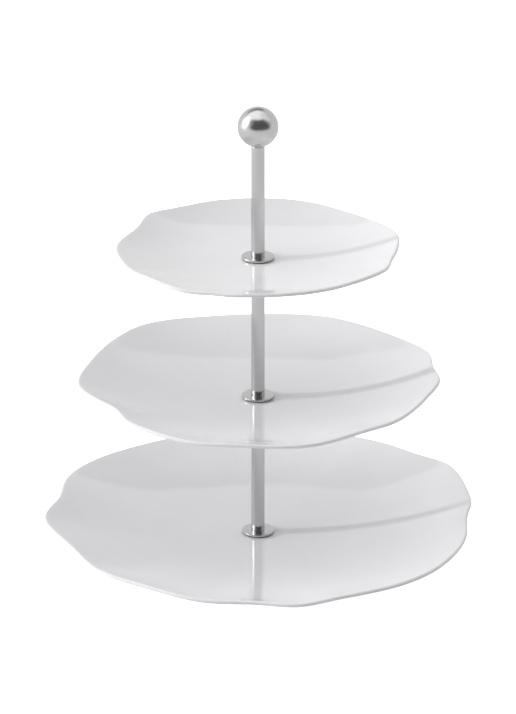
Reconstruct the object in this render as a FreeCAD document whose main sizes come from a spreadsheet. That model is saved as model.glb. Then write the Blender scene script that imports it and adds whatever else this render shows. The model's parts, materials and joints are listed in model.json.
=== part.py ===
# Three-tier cake stand: three wavy-rimmed porcelain plates on a screwed steel pole.
#
# Frame: millimetres, +Z up, origin on the pole's axis at the plane that the foot ring stands on.
# From below, the base screw clamps the bottom plate to the lower tube. Each higher plate is
# clamped between two tubes by a stud, and the ball knob screws onto the upper tube. Every
# plate sits between two rubber gaskets, whose collars centre it, and two steel washers.
import FreeCAD
import Part
import Sketcher
import math
import os

App = FreeCAD
doc = App.newDocument("CakeStand")

# ---------------------------------------------------------------- driving dimensions
DIMENSIONS = {
    # plates: mean radius of the rim, mean height of the rim above the well
    "topPlateRadius": 103.5,
    "topRimHeight": 10.5,
    "middlePlateRadius": 132.5,
    "middleRimHeight": 16,
    "bottomPlateRadius": 160.5,
    "bottomRimHeight": 17.5,
    "wellThickness": 5,
    "lipThickness": 2.8,
    "wellShare": 0.15,
    "wallPower": 2.2,
    "plateHoleDia": 10,
    # foot rings
    "topFootRadius": 50,
    "middleFootRadius": 64,
    "bottomFootRadius": 90,
    "footHeight": 6,
    "footWidth": 4,
    "footTaper": 2,
    "footEdge": 0.8,
    # washers, and rubber gaskets with a collar in the plate's hole
    "washerDia": 24,
    "washerThickness": 1.5,
    "washerEdge": 0.3,
    "gasketDia": 22,
    "gasketThickness": 0.8,
    "collarHeight": 2,
    "collarClearance": 0.05,
    # pole
    "tubeDia": 10,
    "tubeWall": 1,
    "tubeEdge": 0.3,
    "lowerTubeLength": 100,
    "middleTubeLength": 100,
    "upperTubeLength": 85,
    "plugLength": 13,
    # M5 threads, as plain cylinders
    "threadDia": 5,
    "threadClearance": 0.05,
    "threadEdge": 0.5,
    "studLength": 30,
    "knobStudLength": 20,
    "knobHoleDepth": 12,
    "ballDia": 30,
    # button-head base screw
    "screwLength": 20,
    "screwHeadDia": 9.5,
    "screwHeadHeight": 2.75,
    "screwHeadEdge": 0.8,
    "socketFlats": 3,
    "socketDepth": 1.6,
}

sheet = doc.addObject("Spreadsheet::Sheet", "dims")
for row, (alias, number) in enumerate(DIMENSIONS.items(), start=1):
    sheet.set(f"A{row}", alias)
    sheet.set(f"B{row}", str(number))
    sheet.setAlias(f"B{row}", alias)
doc.recompute()


def value(expression):
    """The number that an expression on the sheet gives."""
    result = sheet.evalExpression(expression)
    return float(getattr(result, "Value", result))


# ---------------------------------------------------------------- stack of heights
# Each height is an expression on the sheet, so it follows every size below it.
WASHER = "dims.washerThickness"
GASKET = "dims.gasketThickness"
WELL = "dims.wellThickness"
CLAMP = f"(2 * {WASHER} + 2 * {GASKET} + {WELL})"

seat = {"bottom": f"(dims.footHeight - {GASKET} - {WASHER})"}
seat["middle"] = f"({seat['bottom']} + {CLAMP} + dims.lowerTubeLength)"
seat["top"] = f"({seat['middle']} + {CLAMP} + dims.middleTubeLength)"
knob_seat = f"({seat['top']} + {CLAMP} + dims.upperTubeLength)"

tube_foot = {
    "lower": f"({seat['bottom']} + {CLAMP})",
    "middle": f"({seat['middle']} + {CLAMP})",
    "upper": f"({seat['top']} + {CLAMP})",
}


# ---------------------------------------------------------------- turned bodies
def origin_plane(body, role):
    return next(f for f in body.Origin.OriginFeatures if f.Role == role)


def turned_body(label, profile, z):
    """A body revolved about Z from a closed profile of (radius, height) expressions."""
    body = doc.addObject("PartDesign::Body", label)
    sketch = body.newObject("Sketcher::SketchObject", f"{label}_profile")
    sketch.AttachmentSupport = [(origin_plane(body, "XZ_Plane"), "")]
    sketch.MapMode = "FlatFace"
    corners = [App.Vector(value(r), value(h), 0) for r, h in profile]
    count = len(corners)
    for i in range(count):
        sketch.addGeometry(Part.LineSegment(corners[i], corners[(i + 1) % count]), False)
    for i in range(count):
        sketch.addConstraint(Sketcher.Constraint("Coincident", i, 2, (i + 1) % count, 1))
    for i, (radius, height) in enumerate(profile):
        hold_corner(sketch, i, "DistanceX", radius)
        hold_corner(sketch, i, "DistanceY", height)
    turn = body.newObject("PartDesign::Revolution", f"{label}_turn")
    turn.Profile = sketch
    turn.ReferenceAxis = (sketch, ["V_Axis"])
    turn.Angle = 360
    body.setExpression("Placement.Base.z", z)
    return body


def hold_corner(sketch, i, kind, expression):
    """Ties one coordinate of corner i to an expression, or to the axis where it is zero."""
    if expression == "0":
        axis = -2 if kind == "DistanceX" else -1
        sketch.addConstraint(Sketcher.Constraint("PointOnObject", i, 1, axis))
        return
    index = sketch.addConstraint(
        Sketcher.Constraint(kind, -1, 1, i, 1, value(expression))
    )
    sketch.setExpression(f"Constraints[{index}]", expression)


def ring(label, outer, inner, height, edge, z):
    """A flat or long ring with chamfered outer edges."""
    profile = [
        (inner, "0"),
        (f"{outer} - {edge}", "0"),
        (outer, edge),
        (outer, f"{height} - {edge}"),
        (f"{outer} - {edge}", height),
        (inner, height),
    ]
    return turned_body(label, profile, z)


def plain_ring(label, outer, inner, height, z):
    profile = [(inner, "0"), (outer, "0"), (outer, height), (inner, height)]
    return turned_body(label, profile, z)


# ---------------------------------------------------------------- plates
# Rims, as (azimuth in degrees, radius in % of the mean, height in % of the mean). The radius
# is the lip's outermost, and the height is the lip's middle over the well.
RIMS = {
    "top": [
        (0, 99.8, 128), (22, 98, 105), (48, 94.5, 90), (75, 98.5, 90), (104, 99.5, 87),
        (124, 98.5, 87), (139, 101, 97), (149, 97, 99), (160, 94, 90),
        (172, 97, 95), (190, 101.4, 112), (210, 103.3, 105), (222, 101.5, 101),
        (238, 102.7, 90), (251, 99.5, 91), (264, 99, 92), (288, 98.3, 92), (310, 99, 94),
        (329, 102.5, 102), (339, 100, 111), (350, 99.7, 122),
    ],
    "middle": [
        (0, 100.5, 112), (13, 100.6, 106), (24, 103, 97), (43, 101, 88), (66, 102, 90),
        (90, 100, 84), (112, 101.5, 86), (130, 104, 94), (150, 99.5, 94), (168, 98, 94),
        (186, 101, 106), (199, 97, 104), (213, 92.6, 103), (224, 96.6, 99),
        (245, 98, 91), (262, 97, 94), (285, 100, 94), (305, 96.5, 96), (318, 98, 95),
        (332, 97.8, 96), (348, 100, 106),
    ],
    "bottom": [
        (0, 99.3, 114), (10, 101, 107), (28, 104.8, 106), (39, 101.5, 99), (54, 100.2, 98),
        (75, 101, 91), (90, 101.3, 91), (105, 99, 91), (128, 97, 94), (147, 99, 97), (160, 98, 97),
        (170, 94.8, 100), (180, 97.5, 109), (190, 99.8, 108), (206, 96, 107),
        (222, 98.7, 102), (236, 97.6, 98), (249, 99.3, 95), (259, 100, 92), (271, 99.7, 92),
        (280, 103.8, 93), (289, 101.3, 93), (300, 100.5, 89), (318, 103.2, 94),
        (338, 101.3, 98), (351, 98.3, 108),
    ],
}
RIM_SAMPLES = 60
SECTORS = 6
WALL_STEPS = (0, 0.08, 0.18, 0.3, 0.42, 0.54, 0.65, 0.75, 0.84, 0.92, 1)
LIP_ANGLES = (30, 60, 90, 120, 150)


def closed_curve(points):
    """A closed smooth curve, its points spread evenly over 360 degrees of parameter."""
    curve = Part.BSplineCurve()
    spacing = [360 * i / len(points) for i in range(len(points) + 1)]
    curve.interpolate(Points=points, PeriodicFlag=True, Parameters=spacing)
    return curve


def solid_through(rings, bands):
    """A solid with a smooth skin through closed rings, and a flat face in each end ring.

    The skin is one surface, cut into patches at the rings numbered in bands.
    """
    around = [closed_curve(ring) for ring in rings]
    spacing = [0.0]
    for before, after in zip(rings, rings[1:]):
        gap = sum((b - a).Length for a, b in zip(before, after)) / len(before)
        spacing.append(spacing[-1] + gap)
    across = []
    for poles in zip(*(curve.getPoles() for curve in around)):
        line = Part.BSplineCurve()
        line.interpolate(Points=list(poles), Parameters=spacing)
        across.append(line)
    skin = Part.BSplineSurface()
    skin.buildFromPolesMultsKnots(
        [line.getPoles() for line in across],
        around[0].getMultiplicities(), across[0].getMultiplicities(),
        around[0].getKnots(), across[0].getKnots(),
        True, False, around[0].Degree, across[0].Degree,
    )
    sectors = [(360 * i / SECTORS, 360 * (i + 1) / SECTORS) for i in range(SECTORS)]
    faces = []
    for first, last in zip(bands, bands[1:]):
        for start, end in sectors:
            patch = skin.copy()
            patch.segment(start, end, spacing[first], spacing[last])
            faces.append(patch.toShape())
    for curve in (around[0], around[-1]):
        arcs = [curve.toShape(start, end) for start, end in sectors]
        faces.append(Part.Face(Part.Wire(arcs)))
    shell = Part.Shell(faces)
    shell.sewShape()
    solid = Part.Solid(shell)
    if solid.Volume < 0:
        solid.reverse()
    return solid


def rim_samples(name, radius, height):
    """Evenly spread samples of a smooth curve through the rim's points."""
    points = []
    for azimuth, radius_share, height_share in RIMS[name]:
        angle = math.radians(azimuth)
        reach = radius * radius_share / 100
        rise = height * height_share / 100
        points.append(App.Vector(reach * math.cos(angle), reach * math.sin(angle), rise))
    rim = closed_curve(points).toShape()
    return rim.discretize(Number=RIM_SAMPLES + 1)[:RIM_SAMPLES]


def wall_point(share, reach, rise, sizes):
    """Radius and height of the upper face at a share of the way out to the rim."""
    mean, well = sizes["radius"], sizes["wellShare"]
    radius = share * (mean + (reach - mean) * share**2)
    height = rise * max(0, (share - well) / (1 - well)) ** sizes["wallPower"]
    return radius, height


def wall_direction(share, reach, rise, sizes):
    """Unit vector along the upper face, outwards, as (radial, vertical)."""
    step = 0.002
    r0, z0 = wall_point(share - step, reach, rise, sizes)
    r1, z1 = wall_point(share, reach, rise, sizes)
    length = math.hypot(r1 - r0, z1 - z0)
    return (r1 - r0) / length, (z1 - z0) / length


def section_at(sample, sizes):
    """The plate's section at one rim sample: over the top, round the lip and back under."""
    well, lip = sizes["wellThickness"], sizes["lipThickness"]
    edge = math.hypot(sample.x, sample.y) - lip / 2
    out, up = wall_direction(1, edge, sample.z, sizes)
    reach, rise = edge - up * lip / 2, sample.z + out * lip / 2
    upper, lower = [], []
    for step in WALL_STEPS:
        share = sizes["wellShare"] + (1 - sizes["wellShare"]) * step
        radius, height = wall_point(share, reach, rise, sizes)
        out, up = wall_direction(share, reach, rise, sizes)
        thickness = well + (lip - well) * step
        upper.append((radius, height))
        lower.append((radius + up * thickness, height - out * thickness))
    centre_r = (upper[-1][0] + lower[-1][0]) / 2
    centre_z = (upper[-1][1] + lower[-1][1]) / 2
    round_lip = []
    for degrees in LIP_ANGLES:
        c = lip / 2 * math.cos(math.radians(degrees))
        s = lip / 2 * math.sin(math.radians(degrees))
        round_lip.append((centre_r - up * c + out * s, centre_z + out * c + up * s))
    turn = App.Rotation(App.Vector(0, 0, 1), math.degrees(math.atan2(sample.y, sample.x)))
    return [turn * App.Vector(r, 0, z) for r, z in upper + round_lip + lower[::-1]]


def plate_shell(name):
    """The plate without its foot and hole, as a loft through closed rings."""
    sizes = {
        "radius": value(f"dims.{name}PlateRadius"),
        "wellShare": value("dims.wellShare"),
        "wallPower": value("dims.wallPower"),
        "wellThickness": value("dims.wellThickness"),
        "lipThickness": value("dims.lipThickness"),
    }
    rim = rim_samples(name, sizes["radius"], value(f"dims.{name}RimHeight"))
    sections = [section_at(sample, sizes) for sample in rim]
    shell = doc.addObject("Part::Feature", f"{name}_plate_shell")
    lip_start = len(WALL_STEPS) - 1
    lip_end = lip_start + len(LIP_ANGLES) + 1
    rings = [list(ring) for ring in zip(*sections)]
    shell.Shape = solid_through(rings, (0, lip_start, lip_end, len(rings) - 1))
    shell.Placement.Base.z = value(f"dims.footHeight + {WELL}")
    return shell


def plate_foot(name):
    """The foot ring, tapered and let into the plate's underside."""
    share = f"(dims.{name}FootRadius / dims.{name}PlateRadius)"
    rise = (
        f"dims.{name}RimHeight * pow(({share} - dims.wellShare) / (1 - dims.wellShare);"
        " dims.wallPower)"
    )
    root = f"(dims.footHeight + {WELL} / 2 + {rise})"
    outer = f"(dims.{name}FootRadius + dims.footWidth / 2)"
    inner = f"(dims.{name}FootRadius - dims.footWidth / 2)"
    edge = "dims.footEdge"
    profile = [
        (f"{inner} + {edge}", "0"),
        (f"{outer} - {edge}", "0"),
        (outer, edge),
        (f"{outer} + dims.footTaper", root),
        (f"{inner} - dims.footTaper", root),
        (inner, edge),
    ]
    return turned_body(f"{name}_foot_ring", profile, "0 mm")


def plate(name):
    """Shell and foot joined, with the hole cut through and the whole set at its height."""
    joined = doc.addObject("Part::Fuse", f"{name}_plate_blank")
    joined.Base = plate_shell(name)
    joined.Tool = plate_foot(name)
    hole = doc.addObject("Part::Cylinder", f"{name}_plate_hole")
    hole.setExpression("Radius", "dims.plateHoleDia / 2")
    hole.setExpression("Height", f"dims.footHeight + 2 * {WELL}")
    cut = doc.addObject("Part::Cut", f"{name}_plate")
    cut.Base = joined
    cut.Tool = hole
    cut.setExpression("Placement.Base.z", f"{seat[name]} - {seat['bottom']}")
    return cut


# ---------------------------------------------------------------- clamp round each plate
THREAD_HOLE = "(dims.threadDia / 2)"
THREAD = "(dims.threadDia / 2 - dims.threadClearance)"
COLLAR = "(dims.plateHoleDia / 2 - dims.collarClearance)"


def washer(label, z):
    return ring(label, "dims.washerDia / 2", THREAD_HOLE, WASHER, "dims.washerEdge", z)


def gasket(label, z, collar_up):
    """A rubber disc against the plate, with a collar that stands in the plate's hole."""
    rim = "dims.gasketDia / 2"
    if collar_up:
        base, face, end = "0", GASKET, f"{GASKET} + dims.collarHeight"
    else:
        base, face, end = GASKET, "0", "-dims.collarHeight"
    profile = [
        (THREAD_HOLE, base),
        (rim, base),
        (rim, face),
        (COLLAR, face),
        (COLLAR, end),
        (THREAD_HOLE, end),
    ]
    return turned_body(label, profile, z)


def clamp_pieces(name):
    """Washer and gasket below the plate, then gasket and washer above it."""
    under = seat[name]
    over = f"({under} + {WASHER} + {GASKET} + {WELL})"
    return [
        washer(f"{name}_lower_washer", under),
        gasket(f"{name}_lower_gasket", f"{under} + {WASHER}", True),
        gasket(f"{name}_upper_gasket", over, False),
        washer(f"{name}_upper_washer", f"{over} + {GASKET}"),
    ]


# ---------------------------------------------------------------- pole
TUBE_BORE = "(dims.tubeDia / 2 - dims.tubeWall)"


def pole_tube(name):
    """One tube of the pole with a threaded plug pressed into each end."""
    length, foot = f"dims.{name}TubeLength", tube_foot[name]
    tube = ring(f"{name}_tube", "dims.tubeDia / 2", TUBE_BORE, length, "dims.tubeEdge", foot)
    plugs = [
        plain_ring(f"{name}_tube_{end}_plug", TUBE_BORE, THREAD_HOLE, "dims.plugLength", z)
        for end, z in (("foot", foot), ("head", f"{foot} + {length} - dims.plugLength"))
    ]
    return [tube, *plugs]


def stud(label, length, z):
    """A threaded rod with chamfered ends."""
    edge = "dims.threadEdge"
    profile = [
        ("0", "0"),
        (f"{THREAD} - {edge}", "0"),
        (THREAD, edge),
        (THREAD, f"{length} - {edge}"),
        (f"{THREAD} - {edge}", length),
        ("0", length),
    ]
    return turned_body(label, profile, z)


def joining_stud(label, name):
    """The stud that runs through a plate, with equal lengths in both tubes."""
    return stud(label, "dims.studLength", f"{seat[name]} + ({CLAMP} - dims.studLength) / 2")


def base_screw():
    """Button-head screw: head below, hexagon socket in it, shank up through the plate."""
    head, length = "dims.screwHeadHeight", "dims.screwLength"
    radius, edge = "(dims.screwHeadDia / 2)", "dims.screwHeadEdge"
    profile = [
        ("0", "0"),
        (f"{radius} - 2 * {edge}", "0"),
        (f"{radius} - {edge} / 2", edge),
        (radius, f"2 * {edge}"),
        (radius, head),
        (THREAD, head),
        (THREAD, f"{head} + {length} - dims.threadEdge"),
        (f"{THREAD} - dims.threadEdge", f"{head} + {length}"),
        ("0", f"{head} + {length}"),
    ]
    body = turned_body("base_screw", profile, f"{seat['bottom']} - {head}")
    doc.recompute()
    solid_volume = body.Shape.Volume
    sketch = body.newObject("Sketcher::SketchObject", "base_screw_socket_outline")
    sketch.AttachmentSupport = [(origin_plane(body, "XY_Plane"), "")]
    sketch.MapMode = "FlatFace"
    hexagon(sketch, "dims.socketFlats / cos(30) / 2")
    pocket = body.newObject("PartDesign::Pocket", "base_screw_socket")
    pocket.Profile = sketch
    pocket.Reversed = True
    pocket.setExpression("Length", "dims.socketDepth")
    doc.recompute()
    if body.Shape.Volume >= solid_volume:
        raise RuntimeError("the screw's socket cuts nothing")
    return body


def hexagon(sketch, corner_radius):
    """A regular hexagon on a construction circle, held by its corner radius."""
    radius = value(corner_radius)
    turn = App.Rotation(App.Vector(0, 0, 1), 60)
    corners = [App.Vector(radius, 0, 0)]
    for i in range(5):
        corners.append(turn * corners[-1])
    for i in range(6):
        sketch.addGeometry(Part.LineSegment(corners[i], corners[(i + 1) % 6]), False)
    circle = sketch.addGeometry(Part.Circle(App.Vector(), App.Vector(0, 0, 1), radius), True)
    for i in range(6):
        sketch.addConstraint(Sketcher.Constraint("Coincident", i, 2, (i + 1) % 6, 1))
        sketch.addConstraint(Sketcher.Constraint("PointOnObject", i, 1, circle))
    for i in range(1, 6):
        sketch.addConstraint(Sketcher.Constraint("Equal", 0, i))
    sketch.addConstraint(Sketcher.Constraint("Coincident", circle, 3, -1, 1))
    sketch.addConstraint(Sketcher.Constraint("PointOnObject", 0, 1, -1))
    index = sketch.addConstraint(Sketcher.Constraint("Radius", circle, radius))
    sketch.setExpression(f"Constraints[{index}]", corner_radius)


def ball_knob():
    """Steel ball with a flat as wide as the tube and a blind threaded hole."""
    drop = "sqrt(pow(dims.ballDia / 2; 2) - pow(dims.tubeDia / 2; 2))"
    ball = doc.addObject("Part::Sphere", "knob_ball")
    ball.setExpression("Radius", "dims.ballDia / 2")
    ball.setExpression("Placement.Base.z", drop)
    flat = doc.addObject("Part::Cylinder", "knob_flat")
    flat.setExpression("Radius", "dims.ballDia")
    flat.setExpression("Height", "dims.ballDia")
    flat.setExpression("Placement.Base.z", "-dims.ballDia")
    trimmed = doc.addObject("Part::Cut", "knob_trimmed")
    trimmed.Base = ball
    trimmed.Tool = flat
    hole = doc.addObject("Part::Cylinder", "knob_hole")
    hole.setExpression("Radius", THREAD_HOLE)
    hole.setExpression("Height", "dims.knobHoleDepth")
    knob = doc.addObject("Part::Cut", "ball_knob")
    knob.Base = trimmed
    knob.Tool = hole
    knob.setExpression("Placement.Base.z", knob_seat)
    return knob


# ---------------------------------------------------------------- assembly
sub_parts = [plate(name) for name in ("bottom", "middle", "top")]
for name in ("bottom", "middle", "top"):
    sub_parts += clamp_pieces(name)
for name in ("lower", "middle", "upper"):
    sub_parts += pole_tube(name)
sub_parts += [
    base_screw(),
    joining_stud("middle_stud", "middle"),
    joining_stud("upper_stud", "top"),
    stud("knob_stud", "dims.knobStudLength", f"{knob_seat} - dims.knobStudLength / 2"),
    ball_knob(),
]
doc.recompute()

for item in doc.Objects:
    if {"Invalid", "Error"} & set(item.State):
        raise RuntimeError(f"{item.Label} failed: {item.State}")

os.makedirs("parts", exist_ok=True)
for item in sub_parts:
    shape = item.Shape
    if shape.isNull() or not shape.isValid() or not shape.Solids:
        raise RuntimeError(f"{item.Label} has no valid solid")
    shape.exportStep(f"parts/{item.Label}.step")
    box = shape.BoundBox
    print(
        f"{item.Label:26s} solids {len(shape.Solids)} volume {shape.Volume:10.1f}"
        f"  z {box.ZMin:7.2f} to {box.ZMax:7.2f}  width {box.XLength:6.1f}"
    )
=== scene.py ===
import json
import math

import bmesh
import bpy
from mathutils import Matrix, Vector
from mathutils.bvhtree import BVHTree

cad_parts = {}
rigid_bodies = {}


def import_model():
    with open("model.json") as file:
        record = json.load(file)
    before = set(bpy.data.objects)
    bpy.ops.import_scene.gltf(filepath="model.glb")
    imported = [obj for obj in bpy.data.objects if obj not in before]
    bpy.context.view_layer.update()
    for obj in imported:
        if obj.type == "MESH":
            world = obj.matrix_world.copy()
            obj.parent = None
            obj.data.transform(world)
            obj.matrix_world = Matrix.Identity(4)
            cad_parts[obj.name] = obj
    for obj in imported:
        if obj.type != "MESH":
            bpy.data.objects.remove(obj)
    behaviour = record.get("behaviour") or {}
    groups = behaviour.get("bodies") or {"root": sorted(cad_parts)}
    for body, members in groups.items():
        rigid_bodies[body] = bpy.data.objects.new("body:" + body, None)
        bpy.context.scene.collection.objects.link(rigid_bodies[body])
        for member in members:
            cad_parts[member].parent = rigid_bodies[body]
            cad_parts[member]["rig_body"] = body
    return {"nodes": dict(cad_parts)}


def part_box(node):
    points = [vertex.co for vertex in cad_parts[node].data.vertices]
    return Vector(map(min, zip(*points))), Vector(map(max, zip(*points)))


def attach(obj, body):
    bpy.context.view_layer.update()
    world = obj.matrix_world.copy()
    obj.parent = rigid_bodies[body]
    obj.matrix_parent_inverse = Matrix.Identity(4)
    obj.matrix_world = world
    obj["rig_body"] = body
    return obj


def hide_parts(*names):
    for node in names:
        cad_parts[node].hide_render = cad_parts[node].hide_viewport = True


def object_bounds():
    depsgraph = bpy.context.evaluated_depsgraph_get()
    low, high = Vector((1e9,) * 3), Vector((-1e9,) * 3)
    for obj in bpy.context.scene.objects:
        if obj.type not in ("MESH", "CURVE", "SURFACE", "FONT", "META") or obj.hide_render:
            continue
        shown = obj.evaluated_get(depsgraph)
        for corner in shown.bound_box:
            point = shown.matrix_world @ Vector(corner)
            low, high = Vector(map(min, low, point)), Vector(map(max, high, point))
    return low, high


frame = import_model()
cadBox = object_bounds()


# small helpers for shapes that are turned on the pole's axis

def pieceName(node):
    # lower_tube becomes lowerTube
    first, *rest = node.split("_")
    return first + "".join(word.capitalize() for word in rest)


def arcPoints(centreR, centreZ, radius, startDeg, endDeg, steps):
    points = []
    for i in range(steps + 1):
        a = math.radians(startDeg + (endDeg - startDeg) * i / steps)
        points.append((centreR + radius * math.cos(a), centreZ + radius * math.sin(a)))
    return points


def easeCorners(corners, radius, steps=4, mostOfSide=0.45):
    # rounds every corner of a closed (radius, height) outline, but never past that share of a side
    eased = []
    for i, corner in enumerate(corners):
        here = Vector(corner)
        before = Vector(corners[i - 1]) - here
        after = Vector(corners[(i + 1) % len(corners)]) - here
        half = before.angle(after) / 2
        reach = min(radius / math.tan(half), before.length * mostOfSide, after.length * mostOfSide)
        start = here + before.normalized() * reach
        end = here + after.normalized() * reach
        for k in range(steps + 1):
            s = k / steps
            eased.append(tuple(start * (1 - s) ** 2 + here * 2 * s * (1 - s) + end * s ** 2))
    return eased


def ringsOf(outline, segments):
    # one ring of 3-D points for each (radius, height)
    turns = [2 * math.pi * i / segments for i in range(segments)]
    return [[(r * math.cos(a), r * math.sin(a), z) for a in turns] for r, z in outline]


def meshFromRings(name, rings, closed):
    # joins each ring to the next; a ring of one point closes an end, and closed joins last to first
    verts, starts, faces = [], [], []
    for ring in rings:
        starts.append(len(verts))
        verts.extend(ring)
    count = len(rings)
    for i in range(count if closed else count - 1):
        a, b = starts[i], starts[(i + 1) % count]
        na, nb = len(rings[i]), len(rings[(i + 1) % count])
        n = max(na, nb)
        for k in range(n):
            j = (k + 1) % n
            if na == 1:
                faces.append((a, b + j, b + k))
            elif nb == 1:
                faces.append((a + k, a + j, b))
            else:
                faces.append((a + k, a + j, b + j, b + k))
    mesh = bpy.data.meshes.new(name)
    mesh.from_pydata(verts, [], faces)
    mesh.validate()
    mesh.polygons.foreach_set("use_smooth", [True] * len(mesh.polygons))
    mesh.update()
    piece = bpy.data.objects.new(name, mesh)
    bpy.context.scene.collection.objects.link(piece)
    return piece


def facesOutward(piece):
    # turns the faces out if the mesh's volume comes out negative
    volume = 0
    mesh = piece.data
    for poly in mesh.polygons:
        v = [mesh.vertices[i].co for i in poly.vertices]
        for k in range(1, len(v) - 1):
            volume += v[0].dot(v[k].cross(v[k + 1]))
    if volume < 0:
        mesh.flip_normals()


def creaseSharp(piece, degrees=35):
    # keeps edges sharper than this crisp under smooth shading
    piece.data.set_sharp_from_angle(angle=math.radians(degrees))


def placePiece(piece, node, finish):
    # the piece stands in for its CAD node and moves with that node's body
    body = frame["nodes"][node]["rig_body"]
    piece.data.materials.append(finish)
    facesOutward(piece)
    creaseSharp(piece)
    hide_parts(node)
    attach(piece, body)


# finishes: cloud, ripple, grain, dust and lines are a noise's scale and detail,
# and bump is the relief's strength and its height in metres

noiseSpan = (0.3, 0.7)      # nearly all of a noise lies between these


def newFinish(name):
    finish = bpy.data.materials.new(name)
    finish.use_nodes = True
    nodes = finish.node_tree.nodes
    return finish, nodes, finish.node_tree.links, nodes["Principled BSDF"]


def addNoise(nodes, links, coords, scale, detail, stretch=(1, 1, 1)):
    spread = nodes.new("ShaderNodeMapping")
    spread.inputs["Scale"].default_value = stretch
    links.new(coords, spread.inputs["Vector"])
    grain = nodes.new("ShaderNodeTexNoise")
    grain.inputs["Scale"].default_value = scale
    grain.inputs["Detail"].default_value = detail
    links.new(spread.outputs["Vector"], grain.inputs["Vector"])
    return grain.outputs["Fac"]


def addRange(nodes, links, value, low, high, span=noiseSpan):
    band = nodes.new("ShaderNodeMapRange")
    band.inputs["From Min"].default_value = span[0]
    band.inputs["From Max"].default_value = span[1]
    band.inputs["To Min"].default_value = low
    band.inputs["To Max"].default_value = high
    links.new(value, band.inputs["Value"])
    return band.outputs["Result"]


def addTint(nodes, links, value, dark, light):
    ramp = nodes.new("ShaderNodeValToRGB")
    for stop, place, tint in zip(ramp.color_ramp.elements, noiseSpan, (dark, light)):
        stop.position = place
        stop.color = (*tint, 1)
    links.new(value, ramp.inputs["Fac"])
    return ramp.outputs["Color"]


def addBump(nodes, links, value, strength, distance):
    bump = nodes.new("ShaderNodeBump")
    bump.inputs["Strength"].default_value = strength
    bump.inputs["Distance"].default_value = distance
    links.new(value, bump.inputs["Height"])
    return bump.outputs["Normal"]


glaze = {
    "dark": (0.817, 0.814, 0.832),      # where the glaze lies thin
    "light": (0.842, 0.839, 0.857),
    "rough": (0.01, 0.02),
    "cloud": (22, 3),
    "ripple": (60, 2),                  # slow waves left by the firing
    "bump": (0.6, 0.00004),
    "ior": 1.52,
}


def makeGlaze():
    finish, nodes, links, skin = newFinish("whiteGlaze")
    coords = nodes.new("ShaderNodeTexCoord").outputs["Object"]
    cloud = addNoise(nodes, links, coords, *glaze["cloud"])
    ripple = addNoise(nodes, links, coords, *glaze["ripple"])
    links.new(addTint(nodes, links, cloud, glaze["dark"], glaze["light"]), skin.inputs["Base Color"])
    links.new(addRange(nodes, links, cloud, *glaze["rough"]), skin.inputs["Roughness"])
    links.new(addBump(nodes, links, ripple, *glaze["bump"]), skin.inputs["Normal"])
    skin.inputs["IOR"].default_value = glaze["ior"]
    return finish


bisque = {
    "dark": (0.62, 0.60, 0.57),
    "light": (0.72, 0.70, 0.67),
    "rough": (0.6, 0.85),
    "grain": (900, 6),
    "bump": (0.5, 0.00006),
}


def makeBisque():
    # bare ground porcelain under the foot ring and in the drilled hole
    finish, nodes, links, skin = newFinish("bareBisque")
    coords = nodes.new("ShaderNodeTexCoord").outputs["Object"]
    grain = addNoise(nodes, links, coords, *bisque["grain"])
    links.new(addTint(nodes, links, grain, bisque["dark"], bisque["light"]), skin.inputs["Base Color"])
    links.new(addRange(nodes, links, grain, *bisque["rough"]), skin.inputs["Roughness"])
    links.new(addBump(nodes, links, grain, *bisque["bump"]), skin.inputs["Normal"])
    return finish


satin = {
    "tube": {
        "dark": (0.54, 0.54, 0.54),
        "light": (0.62, 0.62, 0.62),
        "rough": (0.16, 0.2),
        "stretch": (6, 6, 900),         # the larger the last, the finer the lines up the pole
        "lines": (6, 4),
        "cloud": (90, 3),
        "bump": (0.1, 0.000005),
    },
    "ball": {
        "dark": (0.59, 0.59, 0.59),
        "light": (0.65, 0.65, 0.65),
        "rough": (0.2, 0.23),
        "stretch": (60, 60, 420),
        "lines": (6, 4),
        "cloud": (90, 3),
        "bump": (0.1, 0.000005),
    },
    "plug": {
        "dark": (0.42, 0.41, 0.40),
        "light": (0.55, 0.54, 0.53),
        "rough": (0.35, 0.5),
        "stretch": (40, 40, 1500),
        "lines": (6, 4),
        "cloud": (90, 3),
        "bump": (0.1, 0.000005),
    },
}


def makeSatin(name):
    # steel with fine lines running round the pole's axis
    look = satin[name]
    finish, nodes, links, skin = newFinish(name + "Satin")
    coords = nodes.new("ShaderNodeTexCoord").outputs["Object"]
    lines = addNoise(nodes, links, coords, *look["lines"], look["stretch"])
    cloud = addNoise(nodes, links, coords, *look["cloud"])
    links.new(addTint(nodes, links, lines, look["dark"], look["light"]), skin.inputs["Base Color"])
    links.new(addRange(nodes, links, cloud, *look["rough"]), skin.inputs["Roughness"])
    links.new(addBump(nodes, links, lines, *look["bump"]), skin.inputs["Normal"])
    skin.inputs["Metallic"].default_value = 1
    return finish


turned = {
    "dark": (0.56, 0.56, 0.56),
    "light": (0.62, 0.62, 0.62),
    "rough": (0.23, 0.28),
    "cloud": (160, 3),
    "rings": 900,             # scale of the lathe's rings
    "stray": 0.6,             # how far they stray from round
    "strayDetail": 2,
    "bump": (0.1, 0.0000015),
}


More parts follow.
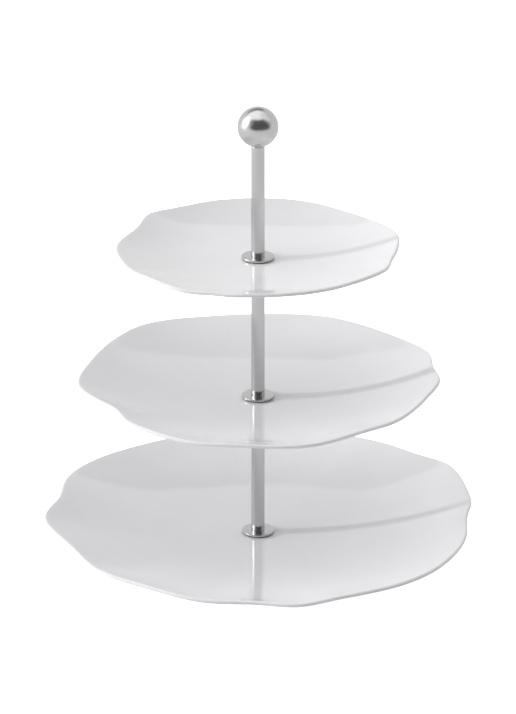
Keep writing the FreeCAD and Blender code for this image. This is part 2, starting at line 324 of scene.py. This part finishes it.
def makeTurned():
    # washers with fine rings left by the lathe
    finish, nodes, links, skin = newFinish("turnedWasher")
    coords = nodes.new("ShaderNodeTexCoord").outputs["Object"]
    rings = nodes.new("ShaderNodeTexWave")
    rings.wave_type = "RINGS"
    rings.rings_direction = "Z"
    rings.inputs["Scale"].default_value = turned["rings"]
    rings.inputs["Distortion"].default_value = turned["stray"]
    rings.inputs["Detail"].default_value = turned["strayDetail"]
    links.new(coords, rings.inputs["Vector"])
    cloud = addNoise(nodes, links, coords, *turned["cloud"])
    links.new(addTint(nodes, links, cloud, turned["dark"], turned["light"]), skin.inputs["Base Color"])
    links.new(addRange(nodes, links, cloud, *turned["rough"]), skin.inputs["Roughness"])
    links.new(addBump(nodes, links, rings.outputs["Fac"], *turned["bump"]), skin.inputs["Normal"])
    skin.inputs["Metallic"].default_value = 1
    return finish


plated = {
    "dark": (0.48, 0.47, 0.44),
    "light": (0.62, 0.61, 0.58),
    "rough": (0.28, 0.42),
    "cloud": (500, 4),
    "bump": (0.2, 0.00002),
}


def makePlated():
    # zinc-plated thread
    finish, nodes, links, skin = newFinish("platedThread")
    coords = nodes.new("ShaderNodeTexCoord").outputs["Object"]
    cloud = addNoise(nodes, links, coords, *plated["cloud"])
    links.new(addTint(nodes, links, cloud, plated["dark"], plated["light"]), skin.inputs["Base Color"])
    links.new(addRange(nodes, links, cloud, *plated["rough"]), skin.inputs["Roughness"])
    links.new(addBump(nodes, links, cloud, *plated["bump"]), skin.inputs["Normal"])
    skin.inputs["Metallic"].default_value = 1
    return finish


rubber = {
    "dark": (0.05, 0.05, 0.05),
    "light": (0.075, 0.075, 0.075),
    "rough": (0.55, 0.75),
    "dust": (700, 5),
    "bump": (0.3, 0.00003),
}


def makeRubber():
    finish, nodes, links, skin = newFinish("gasketRubber")
    coords = nodes.new("ShaderNodeTexCoord").outputs["Object"]
    dust = addNoise(nodes, links, coords, *rubber["dust"])
    links.new(addTint(nodes, links, dust, rubber["dark"], rubber["light"]), skin.inputs["Base Color"])
    links.new(addRange(nodes, links, dust, *rubber["rough"]), skin.inputs["Roughness"])
    links.new(addBump(nodes, links, dust, *rubber["bump"]), skin.inputs["Normal"])
    return finish


whiteGlaze, bareBisque = makeGlaze(), makeBisque()
tubeSatin, ballSatin, plugSatin = makeSatin("tube"), makeSatin("ball"), makeSatin("plug")
turnedWasher, platedThread, gasketRubber = makeTurned(), makePlated(), makeRubber()
print("finishes ready")


# plates: the rim is read from the CAD plate, and the section is drawn afresh and finer

dish = {
    "segments": 288,
    "wellShare": 0.15,        # flat middle, as a share of the rim's radius
    "wallPower": 2.2,
    "wellThick": 0.005,
    "lipThick": 0.0028,
    "footWidth": 0.004,
    "footHeight": 0.006,
    "footRadius": {"bottom": 0.090, "middle": 0.064, "top": 0.050},
    "rimRadius": {"bottom": 0.1605, "middle": 0.1325, "top": 0.1035},
    "holeRadius": 0.005,
    "holeEase": 0.0003,
    "bareHeight": 0.0004,     # the glaze ends this far above the foot's floor
    "bareHole": 0.0002,       # and this far round the hole
    "waves": 26,              # how many waves round the rim are kept from the CAD plate
    "probeSpan": (0.85, 1.15),        # where the CAD rim is looked for, as shares of its radius
    "probeSteps": 16,
    "probeHeight": 0.1,
    "wellRings": (0.009, 0.0125),     # radii of two rings on the flat of the well
    "topSteps": 34,
    "lipSteps": 12,
    "underSteps": 22,
    "recessSteps": 10,
    "leanStep": 0.002,        # share of the rim's radius over which the wall's lean is taken
    "outsideGap": 0.055,      # room left for the foot's fillets, as shares of the same
    "insideGap": 0.06,
    # foot ring, each row (away from its side, share of the way down, lift after that)
    "footOutside": [(0.0022, 0, 0.0004), (0.001, 0, -0.0008), (0.0004, 0.5, 0),
                    (0, 1, 0.0012), (-0.0004, 1, 0.0003), (-0.0009, 1, 0)],
    "footInside": [(-0.0009, 1, 0), (-0.0004, 1, 0.0003), (0, 1, 0.0012),
                   (0.0004, 0.5, 0), (0.001, 0, -0.0012), (0.003, 0, -0.0004)],
}


def rimOf(node, radius, wellZ):
    # outer edge and its height over the well, at even angles, by lowering a probe on the CAD plate
    tree = BVHTree.FromObject(frame["nodes"][node], bpy.context.evaluated_depsgraph_get())
    count = dish["segments"]
    reach, rise = [], []
    for i in range(count):
        a = 2 * math.pi * i / count
        out = Vector((math.cos(a), math.sin(a), 0))
        near, far = (radius * share for share in dish["probeSpan"])
        for _ in range(dish["probeSteps"]):
            middle = (near + far) / 2
            start = out * middle + Vector((0, 0, wellZ + dish["probeHeight"]))
            hit = tree.ray_cast(start, Vector((0, 0, -1)))[0]
            if hit is None:
                far = middle
            else:
                near, height = middle, hit.z
        reach.append(near)
        rise.append(height - wellZ)
    return smoothRound(reach), smoothRound(rise)


def smoothRound(values):
    # keeps only the slow waves of values that run round a circle
    count = len(values)
    smooth = [sum(values) / count] * count
    for wave in range(1, dish["waves"] + 1):
        turns = [2 * math.pi * wave * i / count for i in range(count)]
        c = sum(v * math.cos(t) for v, t in zip(values, turns)) * 2 / count
        s = sum(v * math.sin(t) for v, t in zip(values, turns)) * 2 / count
        smooth = [v + c * math.cos(t) + s * math.sin(t) for v, t in zip(smooth, turns)]
    return smooth


def plateSection(name, reach, rise):
    # (radius, height over the well) from the hole over the top, round the lip and back under
    well, lip = dish["wellThick"], dish["lipThick"]
    mean, flat = dish["rimRadius"][name], dish["wellShare"]
    foot, width, drop = dish["footRadius"][name], dish["footWidth"], dish["footHeight"]

    def wall(share):
        r = share * (mean + (reach - mean) * share ** 2)
        return r, rise * max(0, (share - flat) / (1 - flat)) ** dish["wallPower"]

    def lean(share):
        (r0, z0), (r1, z1) = wall(share - dish["leanStep"]), wall(share)
        long = math.hypot(r1 - r0, z1 - z0)
        return (r1 - r0) / long, (z1 - z0) / long

    # the lip is round, and reach and rise come in as its outermost point
    reach -= lip / 2
    out, up = lean(1)
    reach, rise = reach - up * lip / 2, rise + out * lip / 2

    def under(share):
        out, up = lean(share)
        thick = well + (lip - well) * max(0, (share - flat) / (1 - flat))
        r, z = wall(share)
        return r + up * thick, z - out * thick

    hole, ease = dish["holeRadius"], dish["holeEase"]
    innerRing, outerRing = dish["wellRings"]
    section = [(hole, -ease), (hole + ease, 0), (innerRing, 0), (outerRing, 0)]
    steps = dish["topSteps"]
    section += [wall(flat + (1 - flat) * i / steps) for i in range(steps + 1)]

    out, up = lean(1)
    top, bottom = wall(1), under(1)
    centreR, centreZ = (top[0] + bottom[0]) / 2, (top[1] + bottom[1]) / 2
    steps = dish["lipSteps"]
    for i in range(1, steps):
        a = math.pi * i / steps
        c, s = lip / 2 * math.cos(a), lip / 2 * math.sin(a)
        section.append((centreR - up * c + out * s, centreZ + out * c + up * s))

    footShare = foot / mean
    steps = dish["underSteps"]
    section += [under(1 - (1 - footShare - dish["outsideGap"]) * i / steps) for i in range(steps + 1)]
    sideZ = under(footShare)[1]
    floor = -well - drop
    for side, rows in ((1, dish["footOutside"]), (-1, dish["footInside"])):
        for away, down, lift in rows:
            r = foot + side * width / 2 + side * away
            section.append((r, sideZ * (1 - down) + floor * down + lift))

    inner = footShare - dish["insideGap"]
    steps = dish["recessSteps"]
    section += [under(inner + (flat - inner) * i / steps) for i in range(steps + 1)]
    section += [(outerRing, -well), (innerRing, -well), (hole + ease, -well), (hole, -well + ease)]
    return section


def makePlate(name):
    node = name + "_plate"
    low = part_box(node)[0]
    wellZ = low.z + dish["footHeight"] + dish["wellThick"]
    reach, rise = rimOf(node, dish["rimRadius"][name], wellZ)
    count = dish["segments"]
    columns = []
    for i in range(count):
        a = 2 * math.pi * i / count
        section = plateSection(name, reach[i], rise[i])
        columns.append([(r * math.cos(a), r * math.sin(a), wellZ + z) for r, z in section])
    piece = meshFromRings(pieceName(node), [list(ring) for ring in zip(*columns)], True)
    placePiece(piece, node, whiteGlaze)
    piece.data.materials.append(bareBisque)
    bareZ, bareR = low.z + dish["bareHeight"], dish["holeRadius"] + dish["bareHole"]
    for poly in piece.data.polygons:
        if poly.center.z < bareZ or math.hypot(poly.center.x, poly.center.y) < bareR:
            poly.material_index = 1


for name in ("bottom", "middle", "top"):
    makePlate(name)
print("plates made")


# washers and gaskets

clamp = {
    "segments": 96,
    "hole": 0.0025,           # the stud's hole through them all
    "washerEase": 0.00035,
    "gasketEase": 0.00018,
    "gasketThick": 0.0008,
    "collar": 0.00495,        # radius of the gasket's collar in the plate's hole
}


def makeWasher(node):
    low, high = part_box(node)
    hole, rim = clamp["hole"], high.x
    outline = [(hole, low.z), (rim, low.z), (rim, high.z), (hole, high.z)]
    rings = ringsOf(easeCorners(outline, clamp["washerEase"]), clamp["segments"])
    placePiece(meshFromRings(pieceName(node), rings, True), node, turnedWasher)


def makeGasket(node, collarUp):
    low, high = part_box(node)
    hole, rim, collar = clamp["hole"], high.x, clamp["collar"]
    if collarUp:
        face = low.z + clamp["gasketThick"]
        outline = [(hole, low.z), (rim, low.z), (rim, face),
                   (collar, face), (collar, high.z), (hole, high.z)]
    else:
        face = high.z - clamp["gasketThick"]
        outline = [(hole, low.z), (collar, low.z), (collar, face),
                   (rim, face), (rim, high.z), (hole, high.z)]
    rings = ringsOf(easeCorners(outline, clamp["gasketEase"]), clamp["segments"])
    placePiece(meshFromRings(pieceName(node), rings, True), node, gasketRubber)


for name in ("bottom", "middle", "top"):
    makeWasher(name + "_lower_washer")
    makeWasher(name + "_upper_washer")
    makeGasket(name + "_lower_gasket", True)
    makeGasket(name + "_upper_gasket", False)
print("washers and gaskets made")


# pole: tubes, threaded plugs, studs, screw and knob

pole = {
    "segments": 96,
    "tubeBore": 0.004,
    "tubeEase": 0.0004,
    "plugBore": 0.0025,
    "plugEase": 0.0002,
}

thread = {
    "segments": 40,
    "pitch": 0.0008,
    "depth": 0.00045,
    "lead": 0.0005,           # bevel at a thread's end
    "endInset": 0.0003,       # a stud's flat end lies this far inside the thread's root
    "shape": [(0.0, 0), (0.38, 1), (0.5, 1), (0.88, 0)],      # share of a pitch, share of the depth
}


def makeTube(node):
    low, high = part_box(node)
    bore, wall = pole["tubeBore"], high.x
    outline = [(bore, low.z), (wall, low.z), (wall, high.z), (bore, high.z)]
    rings = ringsOf(easeCorners(outline, pole["tubeEase"]), pole["segments"])
    placePiece(meshFromRings(pieceName(node), rings, True), node, tubeSatin)


def threadRings(radius, lowZ, highZ, outside):
    # rings that follow the helix from lowZ to highZ; each end is flat and bevelled
    pitch, depth, segments = thread["pitch"], thread["depth"], thread["segments"]
    rings = []
    turns = int((highZ - lowZ) / pitch) + 2
    for turn in range(-1, turns):
        for along, deep in thread["shape"]:
            ring = []
            for k in range(segments):
                a = 2 * math.pi * k / segments
                z = lowZ + (turn + along + k / segments) * pitch
                inside = min(z - lowZ, highZ - z)
                bevel = max(0, thread["lead"] - max(0, inside))
                if outside:
                    r = min(radius - depth * deep, radius - bevel)
                else:
                    r = max(radius + depth - depth * (1 - deep), radius + bevel)
                z = min(max(z, lowZ), highZ)
                ring.append((r * math.cos(a), r * math.sin(a), z))
            rings.append(ring)
    return rings


def flatRing(radius, z):
    return ringsOf([(radius, z)], thread["segments"])[0]


def endRing(radius, z):
    # rim of the flat end of a thread
    return flatRing(radius - thread["depth"] - thread["endInset"], z)


def tidyMesh(piece, nearness=1e-6):
    # joins points that fell together where a thread runs out
    mesh = bmesh.new()
    mesh.from_mesh(piece.data)
    bmesh.ops.remove_doubles(mesh, verts=mesh.verts, dist=nearness)
    bmesh.ops.dissolve_degenerate(mesh, edges=mesh.edges, dist=nearness)
    mesh.to_mesh(piece.data)
    mesh.free()
    return piece


def makeStud(node):
    low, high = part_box(node)
    radius = high.x
    rings = [[(0, 0, low.z)], endRing(radius, low.z)]
    rings += threadRings(radius, low.z, high.z, True)
    rings += [endRing(radius, high.z), [(0, 0, high.z)]]
    placePiece(tidyMesh(meshFromRings(pieceName(node), rings, False)), node, platedThread)


def makePlug(node):
    low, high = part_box(node)
    wall, ease = high.x, pole["plugEase"]
    mouth = pole["plugBore"] + thread["lead"]
    rings = [flatRing(mouth, high.z), flatRing(wall - ease, high.z),
             flatRing(wall, high.z - ease), flatRing(wall, low.z + ease),
             flatRing(wall - ease, low.z), flatRing(mouth, low.z)]
    rings += threadRings(pole["plugBore"], low.z, high.z, False)
    placePiece(tidyMesh(meshFromRings(pieceName(node), rings, True)), node, plugSatin)


screw = {
    "headHeight": 0.00275,
    "headRadius": 0.00475,
    "headEase": 0.0002,
    "faceShare": 0.5,         # flat of the head, as a share of its radius
    "roundShare": 0.45,       # and its round shoulder
    "roundSteps": 8,
    "edgeHeight": 0.0007,
    "socketFlats": 0.003,
    "socketDepth": 0.0016,
    "socketPoint": 0.0004,
    "socketEase": 0.0001,
    "neck": 0.0006,           # plain length under the head
    "slack": 0.00005,         # clearance round the thread
}


def hexagonRing(flats, z):
    count = thread["segments"]
    ring = []
    for k in range(count):
        a = 2 * math.pi * k / count
        r = flats / 2 / math.cos((a + math.pi / 6) % (math.pi / 3) - math.pi / 6)
        ring.append((r * math.cos(a), r * math.sin(a), z))
    return ring


def makeScrew(node):
    low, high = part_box(node)
    radius, head, ease = clamp["hole"] - screw["slack"], screw["headRadius"], screw["headEase"]
    seat = low.z + screw["headHeight"]
    socketZ = low.z + screw["socketDepth"]
    rings = [[(0, 0, socketZ + screw["socketPoint"])], hexagonRing(screw["socketFlats"], socketZ),
             hexagonRing(screw["socketFlats"], low.z + screw["socketEase"]),
             flatRing(head * screw["faceShare"], low.z)]
    shoulder, steps = screw["roundShare"], screw["roundSteps"]
    for i in range(steps + 1):
        a = math.radians(90 * i / steps)
        rings.append(flatRing(head * (1 - shoulder) + head * shoulder * math.sin(a),
                              low.z + (screw["headHeight"] - screw["edgeHeight"]) * (1 - math.cos(a))))
    neckZ = seat + screw["neck"]
    rings += [flatRing(head, seat - ease), flatRing(head - ease, seat)]
    rings += [flatRing(radius, seat), flatRing(radius, neckZ)]
    rings += threadRings(radius, neckZ, high.z, True)
    rings += [endRing(radius, high.z), [(0, 0, high.z)]]
    placePiece(tidyMesh(meshFromRings(pieceName(node), rings, False)), node, platedThread)


knob = {
    "radius": 0.015,
    "neck": 0.005,            # radius of the flat it stands on
    "neckEase": 0.0003,       # bevel round that flat
    "neckTurn": 0.8,          # degrees of the ball that the bevel takes
    "holeDepth": 0.012,
    "holePoint": 0.0008,
    "holeLead": 0.0005,
    "steps": 72,
    "segments": 160,
}


def makeKnob(node):
    low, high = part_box(node)
    ball, neck, hole, lead = knob["radius"], knob["neck"], clamp["hole"], knob["holeLead"]
    holeEnd = low.z + knob["holeDepth"]
    start = -math.degrees(math.acos(neck / ball)) + knob["neckTurn"]
    outline = [(0, holeEnd), (hole, holeEnd - knob["holePoint"]), (hole, low.z + lead),
               (hole + lead, low.z), (neck - knob["neckEase"], low.z)]
    outline += arcPoints(0, high.z - ball, ball, start, 90, knob["steps"])[:-1]
    outline += [(0, high.z)]
    rings = ringsOf(outline, knob["segments"])
    rings[0], rings[-1] = [(0, 0, holeEnd)], [(0, 0, high.z)]
    placePiece(meshFromRings(pieceName(node), rings, False), node, ballSatin)


for name in ("lower", "middle", "upper"):
    makeTube(name + "_tube")
    makePlug(name + "_tube_foot_plug")
    makePlug(name + "_tube_head_plug")
for name in ("middle_stud", "upper_stud", "knob_stud"):
    makeStud(name)
makeScrew("base_screw")
makeKnob("ball_knob")
print("pole, threads and knob made")


# floor, light and camera

studio = {
    "floorSize": 12,
    "floorColor": (0.86, 0.86, 0.86),
    "floorRough": 0.9,
    "floorSpecular": 0.1,
    "floorLift": 1.1,             # glow that only the camera sees
    "wallWhite": 0.84,            # white walls all round the stand
    "wallTop": (34.5, 35.5),      # elevations between which they end, degrees
    "aboveGrey": 0.22,
}

# soft patches of the surround, each laid over the ones before it: side 0 is the camera's and
# 90 the right, and angles are the patch's core and edge in degrees; heights are multiplied by
# squat before those angles are measured, so above 1 it flattens a patch that lies low
patches = {
    "darkRoom": {"side": 14, "rise": 9, "angles": (44, 66), "squat": 2.4, "white": 0.1},
    "ceiling": {"side": 0, "rise": 90, "angles": (26, 38), "squat": 1, "white": 1.28},
    "ceilingRight": {"side": 100, "rise": 55, "angles": (18, 34), "squat": 1, "white": 1.05},
    "ceilingLeft": {"side": -95, "rise": 60, "angles": (18, 34), "squat": 1, "white": 1.35},
    "whiteBoard": {"side": 125, "rise": 25, "angles": (22, 38), "squat": 1, "white": 0.75},
    "softBox": {"side": -86, "rise": 25, "angles": (18, 26), "squat": 0.75, "white": 2.1},
}


def makeFloor():
    bpy.ops.mesh.primitive_plane_add(size=studio["floorSize"], location=(0, 0, cadBox[0].z))
    floor = bpy.context.object
    floor.name = "paleFloor"
    finish, nodes, links, skin = newFinish("paleFloor")
    skin.inputs["Base Color"].default_value = (*studio["floorColor"], 1)
    skin.inputs["Roughness"].default_value = studio["floorRough"]
    skin.inputs["Specular IOR Level"].default_value = studio["floorSpecular"]
    skin.inputs["Emission Color"].default_value = (1, 1, 1, 1)
    ray = nodes.new("ShaderNodeLightPath")
    lift = addRange(nodes, links, ray.outputs["Is Camera Ray"], 0, studio["floorLift"], (0, 1))
    links.new(lift, skin.inputs["Emission Strength"])
    floor.data.materials.append(finish)


def wayTo(side, rise):
    # unit vector towards a side and a rise given in degrees
    side, rise = math.radians(side), math.radians(rise)
    return Vector((math.sin(side) * math.cos(rise), -math.cos(side) * math.cos(rise), math.sin(rise)))


def addVectorMath(nodes, links, operation, first, second=(0, 0, 0)):
    math3d = nodes.new("ShaderNodeVectorMath")
    math3d.operation = operation
    math3d.inputs[1].default_value = second
    links.new(first, math3d.inputs[0])
    return math3d


def layOver(nodes, links, share, under, white):
    # lays a grey value over what is under it, by share
    layer = nodes.new("ShaderNodeMix")
    layer.inputs["B"].default_value = white
    links.new(share, layer.inputs["Factor"])
    links.new(under, layer.inputs["A"])
    return layer.outputs["Result"]


def makeSurround():
    # white walls with a grey band above them, and the patches laid over both in turn
    world = bpy.context.scene.world or bpy.data.worlds.new("studio")
    bpy.context.scene.world = world
    world.use_nodes = True
    nodes, links = world.node_tree.nodes, world.node_tree.links
    nodes.clear()
    coords = nodes.new("ShaderNodeTexCoord").outputs["Generated"]
    split = nodes.new("ShaderNodeSeparateXYZ")
    links.new(coords, split.inputs["Vector"])
    wallEdge = [math.sin(math.radians(a)) for a in studio["wallTop"]]
    shade = addRange(nodes, links, split.outputs["Z"], studio["wallWhite"], studio["aboveGrey"], wallEdge)
    for look in patches.values():
        squash = Vector((1, 1, look["squat"]))
        squashed = addVectorMath(nodes, links, "MULTIPLY", coords, squash).outputs["Vector"]
        squashed = addVectorMath(nodes, links, "NORMALIZE", squashed).outputs["Vector"]
        centre = (wayTo(look["side"], look["rise"]) * squash).normalized()
        facing = addVectorMath(nodes, links, "DOT_PRODUCT", squashed, centre)
        core, edge = (math.cos(math.radians(a)) for a in look["angles"])
        share = addRange(nodes, links, facing.outputs["Value"], 0, 1, (edge, core))
        shade = layOver(nodes, links, share, shade, look["white"])
    ray = nodes.new("ShaderNodeLightPath")      # looked at straight, the walls are plain white
    shade = layOver(nodes, links, ray.outputs["Is Camera Ray"], shade, 1)
    back = nodes.new("ShaderNodeBackground")
    links.new(shade, back.inputs["Color"])
    out = nodes.new("ShaderNodeOutputWorld")
    links.new(back.outputs["Background"], out.inputs["Surface"])


lamps = {
    "keyStrip": {"side": -86.5, "rise": 17.5, "away": 7, "aimHeight": 0.15,
                 "size": (0.33, 1.1), "power": 200},
}


def hangLamp(name):
    look = lamps[name]
    away = wayTo(look["side"], look["rise"])
    light = bpy.data.lights.new(name, "AREA")
    light.shape = "RECTANGLE"
    light.size, light.size_y = look["size"]
    light.energy = look["power"]
    lamp = bpy.data.objects.new(name, light)
    lamp.location = Vector((0, 0, look["aimHeight"])) + away * look["away"]
    lamp.rotation_mode = "QUATERNION"
    lamp.rotation_quaternion = (-away).to_track_quat("-Z", "Y")
    bpy.context.scene.collection.objects.link(lamp)


shot = {
    "elevation": 22.0,
    "away": 3.0,
    "aimHeight": 0.1526,
    "lens": 205.0,
    "sensor": 36,
    "clip": (0.05, 50),
}


def makeCamera():
    away = wayTo(0, shot["elevation"])
    lens = bpy.data.cameras.new("shot")
    lens.lens = shot["lens"]
    lens.sensor_width = shot["sensor"]
    lens.clip_start, lens.clip_end = shot["clip"]
    camera = bpy.data.objects.new("shot", lens)
    camera.location = Vector((0, 0, shot["aimHeight"])) + away * shot["away"]
    camera.rotation_mode = "QUATERNION"
    camera.rotation_quaternion = (-away).to_track_quat("-Z", "Y")
    bpy.context.scene.collection.objects.link(camera)
    bpy.context.scene.camera = camera


makeFloor()
makeSurround()
for name in lamps:
    hangLamp(name)
makeCamera()
bpy.context.scene.view_settings.view_transform = "Standard"
print("studio ready")
